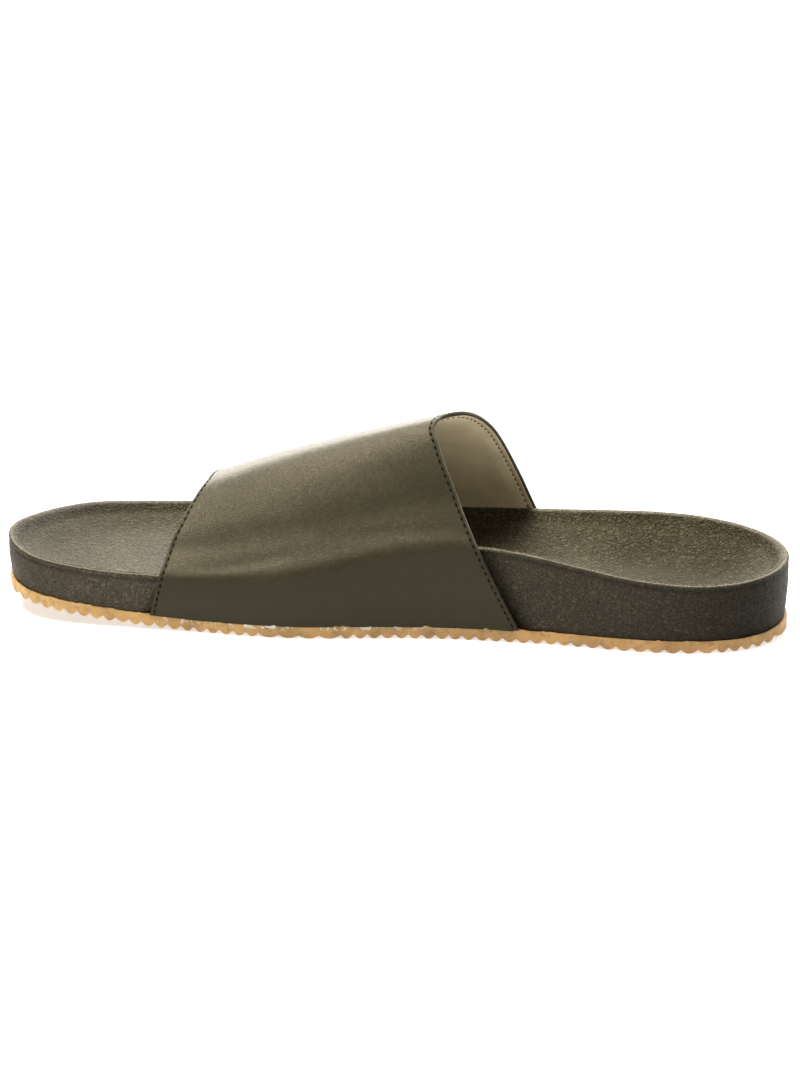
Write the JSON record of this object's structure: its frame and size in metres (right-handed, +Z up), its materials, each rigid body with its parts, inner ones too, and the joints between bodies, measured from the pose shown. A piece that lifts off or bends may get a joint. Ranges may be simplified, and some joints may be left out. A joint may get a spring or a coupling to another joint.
{
  "type": "slide sandal",
  "caption": "Right-foot leather slide sandal: contoured footbed with a raised rim, a wide strap lasted under it and a rippled gum outsole.",
  "frame": {"origin": "bottom centre of the bounding box, on the plane that the tread's flat ribs stand on", "axes": "-X towards the toe and +X towards the heel, -Y towards the medial (big toe) side, +Z up"},
  "size_m": [0.2879, 0.1008, 0.0755],
  "materials": {
    "gum_rubber": "matt, slightly translucent",
    "grained_leather": "pebbled, satin",
    "insole_leather": "pebbled, satin",
    "strap_leather": "smooth, satin"
  },
  "bodies": {
    "root": {"outsole": "gum_rubber", "midsole": "grained_leather", "insole": "insole_leather", "upper": "strap_leather"}
  },
  "joints": []
}
